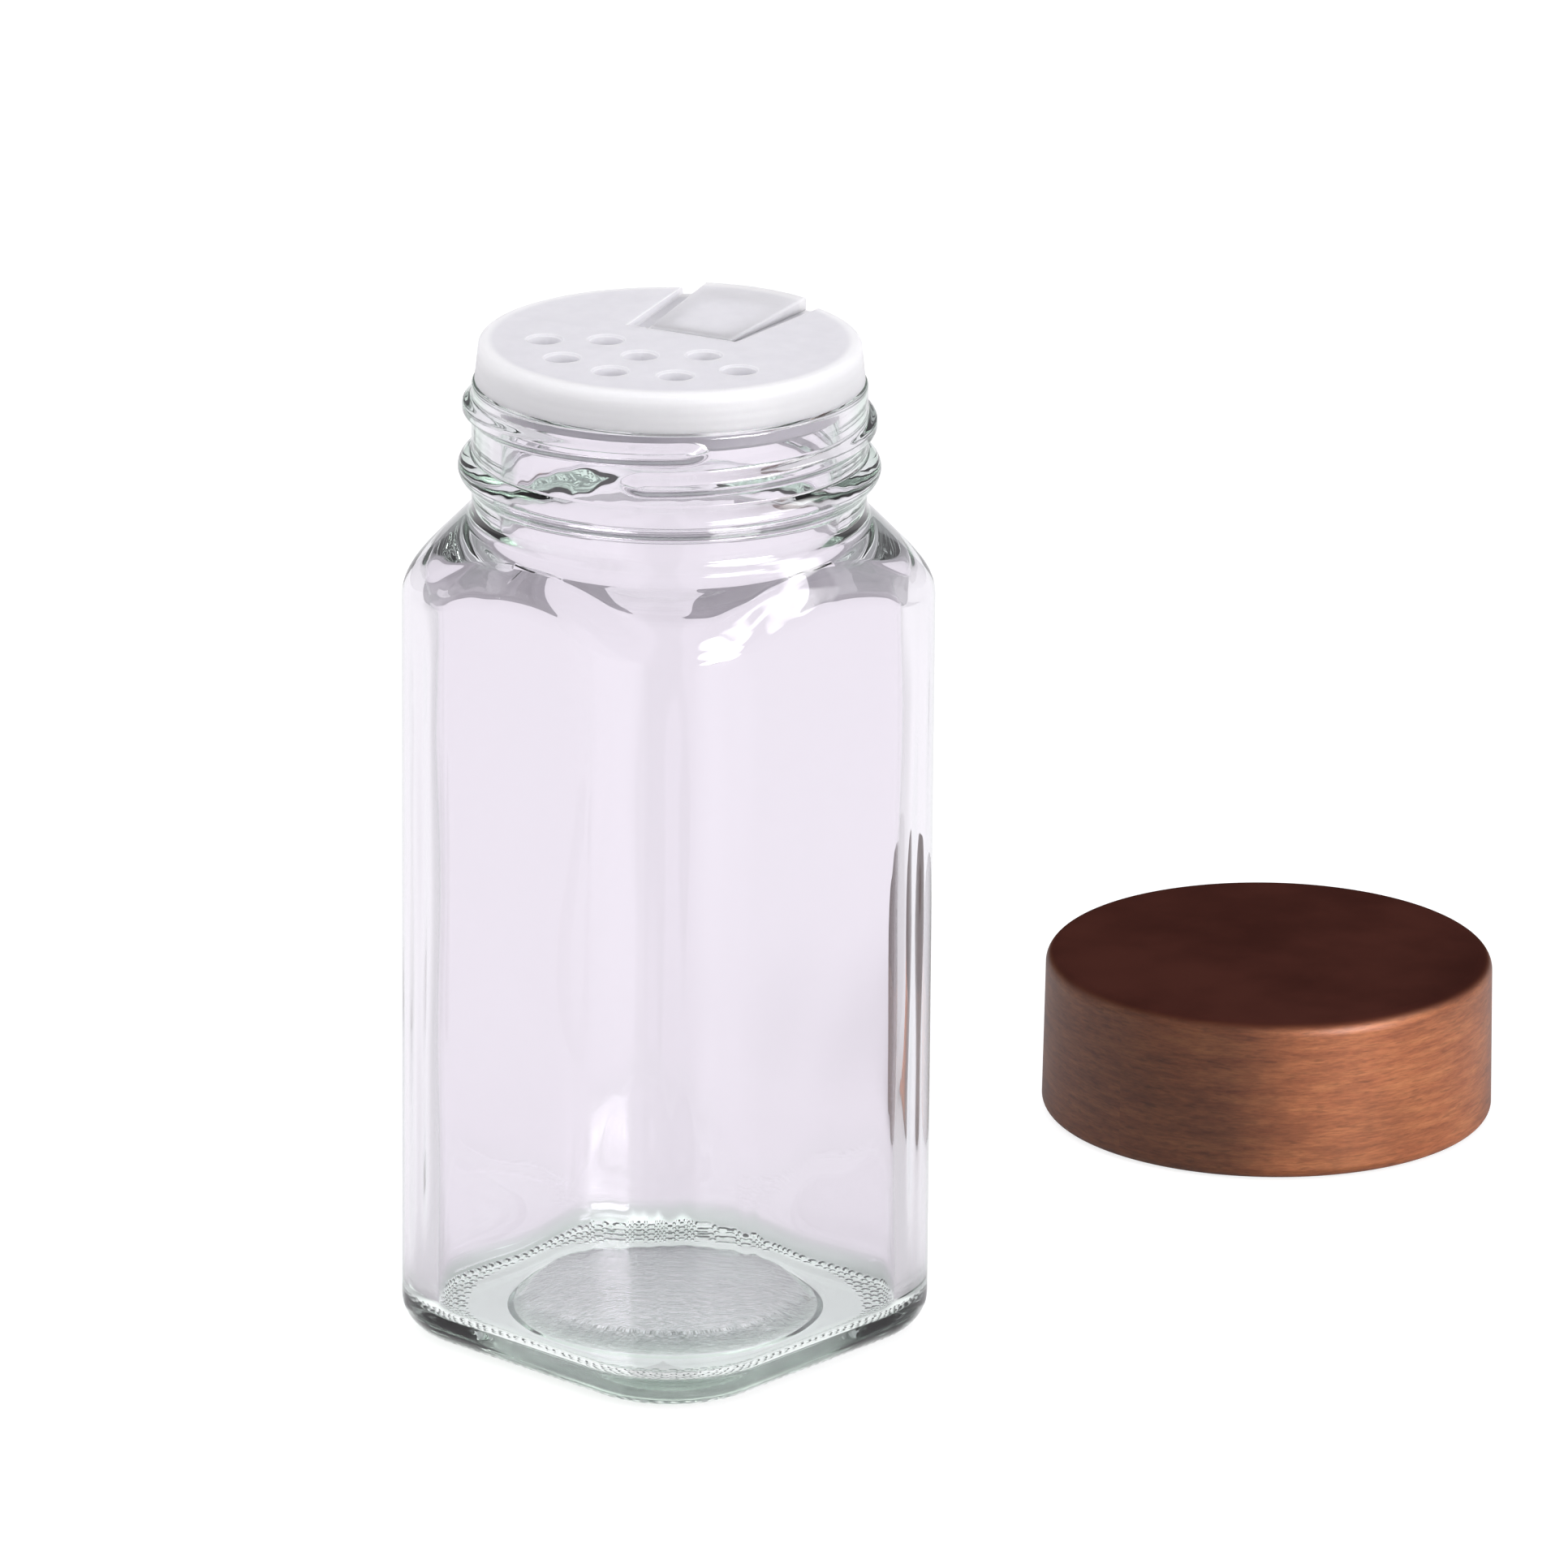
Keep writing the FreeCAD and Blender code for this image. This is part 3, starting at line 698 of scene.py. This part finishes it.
def seal_foam():
    """Fine closed-cell foam."""
    material, tree, shader = new_material("seal_foam", Roughness=0.8)
    cells = add_node(tree, "ShaderNodeTexVoronoi", object_place(tree), named={"Scale": FOAM_CELLS})
    tree.links.new(ramp_node(tree, cells, FOAM_TONES), shader.inputs["Base Color"])
    add_bump(tree, shader, cells, FOAM_DEPTH, 0.5)
    return material


def dress(node, material):
    """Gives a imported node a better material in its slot."""
    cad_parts[node].data.materials.clear()
    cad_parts[node].data.materials.append(material)


# Stage


def floor_material():
    """White to the camera with a faint shadow. Seen in glass, it has painted shade in front and at the
    sides, and a painted pool of light under the jar.
    """
    material, tree, shader = new_material("floor")
    tree.nodes.remove(shader)
    path = tree.nodes.new("ShaderNodeLightPath").outputs
    place = add_node(tree, "ShaderNodeNewGeometry", output="Position")
    # Painted shade: the floor is painted dimmer in a wedge between the jar and the camera and, seen through
    # glass, at the sides; the camera doesn't see this directly
    ahead = reach(tree, place, towards(0, 0))
    aside = reach(tree, place, towards(90, 0))
    bearing = math_node(tree, "ARCTAN2", aside, math_node(tree, "SUBTRACT", ahead, WEDGE_TIP))
    left = spread_node(tree, bearing, *np.radians(WEDGE_LEFT).tolist())
    right = spread_node(tree, bearing, *np.radians(WEDGE_RIGHT).tolist())
    front = one_minus(tree, product(tree, left, right, 1 - FLOOR_DIM))
    turn = math_node(tree, "ABSOLUTE", math_node(tree, "ARCTAN2", aside, ahead))
    near = spread_node(tree, turn, *np.radians(SIDE_FROM).tolist())
    far = spread_node(tree, turn, *np.radians(SIDE_TO).tolist(), 0.0, SIDE_DIM)
    sides = one_minus(tree, product(tree, near, far, path["Is Transmission Ray"]))
    level = product(tree, front, sides)
    tone = (FLOOR_LIT, FLOOR_LIT * 0.99, FLOOR_LIT * 1.01, 1)
    lit = add_node(tree, "ShaderNodeBsdfDiffuse", mix_colours(tree, level, (0, 0, 0, 1), tone))
    # Painted light: a pool of light painted into the floor under the jar, seen in reflections and through
    # the glass
    square = add_node(tree, "ShaderNodeVectorMath", place, operation="ABSOLUTE")
    away = math_node(tree, "MAXIMUM", part_of(tree, square, "X"), part_of(tree, square, "Y"))
    under = spread_node(tree, away, (BODY_HALF + 1) * MM, (BODY_HALF - 2) * MM, 0.0, FLOOR_GLOW_UNDER)
    mirrored = math_node(tree, "MAXIMUM", path["Is Glossy Ray"], path["Is Transmission Ray"])
    glow = math_node(tree, "ADD", product(tree, level, FLOOR_GLOW), under)
    glow = add_node(tree, "ShaderNodeEmission", None, product(tree, glow, mirrored))
    seen = add_node(tree, "ShaderNodeAddShader", lit, glow)
    pale = add_node(tree, "ShaderNodeBsdfDiffuse", FLOOR_PALE)
    shine = add_node(tree, "ShaderNodeEmission", None, FLOOR_WHITE)
    white = add_node(tree, "ShaderNodeAddShader", pale, shine)
    mixed = add_node(tree, "ShaderNodeMixShader", path["Is Camera Ray"], seen, white)
    tree.links.new(mixed, tree.nodes["Material Output"].inputs["Surface"])
    return material


def add_floor():
    """A plain floor just below the foot of the jar."""
    mesh = bpy.data.meshes.new("floor")
    corners = [(-1, -1), (1, -1), (1, 1), (-1, 1)]
    points = [(x * FLOOR_HALF, y * FLOOR_HALF, -FLOOR_DROP) for x, y in corners]
    mesh.from_pydata(points, [], [(0, 1, 2, 3)])
    mesh.materials.append(floor_material())
    floor = bpy.data.objects.new("floor", mesh)
    bpy.context.scene.collection.objects.link(floor)


def soft_spot(tree, way, middle, half_width, half_height, strength):
    """A bright patch of the sky with soft edges."""
    centre = towards(*middle)
    across = centre.cross(Vector((0, 0, 1))).normalized()
    upward = across.cross(centre)
    squares = []
    for axis, half in ((across, half_width), (upward, half_height)):
        part = math_node(tree, "DIVIDE", reach(tree, way, axis), math.sin(math.radians(half)))
        squares.append(product(tree, part, part))
    spot = spread_node(tree, math_node(tree, "ADD", *squares), 1.0, 0.0, 0.0, strength)
    return product(tree, spot, math_node(tree, "GREATER_THAN", reach(tree, way, centre), 0.0))


def add_world():
    """A studio that is bright to the right, and dimmer to the left, overhead, behind and in front.

    Matt surfaces get a soft fill from it, and only a share of its bright patches.
    """
    world = bpy.data.worlds.new("studio")
    world.use_nodes = True
    bpy.context.scene.world = world
    # Only a ray that has left a surface knows which kind of surface that was
    world.cycles.sampling_method = "NONE"
    tree = world.node_tree
    tree.nodes.clear()
    path = tree.nodes.new("ShaderNodeLightPath").outputs
    way = add_node(tree, "ShaderNodeTexCoord", output="Generated")
    ahead = reach(tree, way, towards(0, 0))
    right = reach(tree, way, towards(90, 0))
    up = math_node(tree, "MAXIMUM", part_of(tree, way, "Z"), 0.0)
    aside = one_minus(tree, product(tree, ahead, ahead))
    lean = spread_node(tree, right, -0.6, 0.4, SKY_LEFT, 1.0)
    tone = ramp_node(tree, product(tree, aside, one_minus(tree, up), lean), SKY_TONES)
    matt = math_node(tree, "MINIMUM", path["Diffuse Depth"], 1.0)
    share = spread_node(tree, matt, 0.0, 1.0, 1.0, SPOT_SHARE)
    extras = [product(tree, soft_spot(tree, way, *spot), share) for spot in SKY_SPOTS]
    extras.append(product(tree, matt, spread_node(tree, right, -0.6, 0.6, SKY_FILL_LEFT, SKY_FILL_RIGHT)))
    for extra in extras:
        tone = add_node(tree, "ShaderNodeVectorMath", tone, extra, operation="ADD")
    dome = add_node(tree, "ShaderNodeBackground", tone)
    white = add_node(tree, "ShaderNodeBackground", (1, 1, 1, 1))
    mixed = add_node(tree, "ShaderNodeMixShader", path["Is Camera Ray"], dome, white)
    tree.links.new(mixed, tree.nodes.new("ShaderNodeOutputWorld").inputs["Surface"])


def add_key_lamp():
    """A soft box to the right that faces the jar and isn't seen itself."""
    back = towards(*KEY_WAY)
    data = bpy.data.lights.new("key_right", "AREA")
    data.shape = "RECTANGLE"
    data.size, data.size_y = KEY_SIZE
    data.energy = KEY_POWER
    lamp = bpy.data.objects.new("key_right", data)
    bpy.context.scene.collection.objects.link(lamp)
    lamp.location = Vector(KEY_AIM) + back * KEY_DISTANCE
    lamp.rotation_mode = "QUATERNION"
    lamp.rotation_quaternion = back.to_track_quat("Z", "Y")
    lamp.visible_camera = False
    lamp.visible_glossy = False
    lamp.visible_transmission = False


def set_render():
    """Plain colours, and enough bounces for glass behind glass."""
    scene = bpy.context.scene
    scene.view_settings.view_transform = "Standard"
    scene.cycles.use_denoising = True
    scene.cycles.max_bounces = 32
    scene.cycles.transmission_bounces = 24
    scene.cycles.glossy_bounces = 12
    scene.cycles.transparent_max_bounces = 24


add_camera()
add_jar()
plastic = frosted_plastic()
dress("shaker_insert", plastic)
dress("pour_flap", plastic)
dress("cap_shell", stained_wood())
dress("cap_liner", moulded_plastic())
dress("cap_seal", seal_foam())
add_floor()
add_world()
add_key_lamp()
set_render()
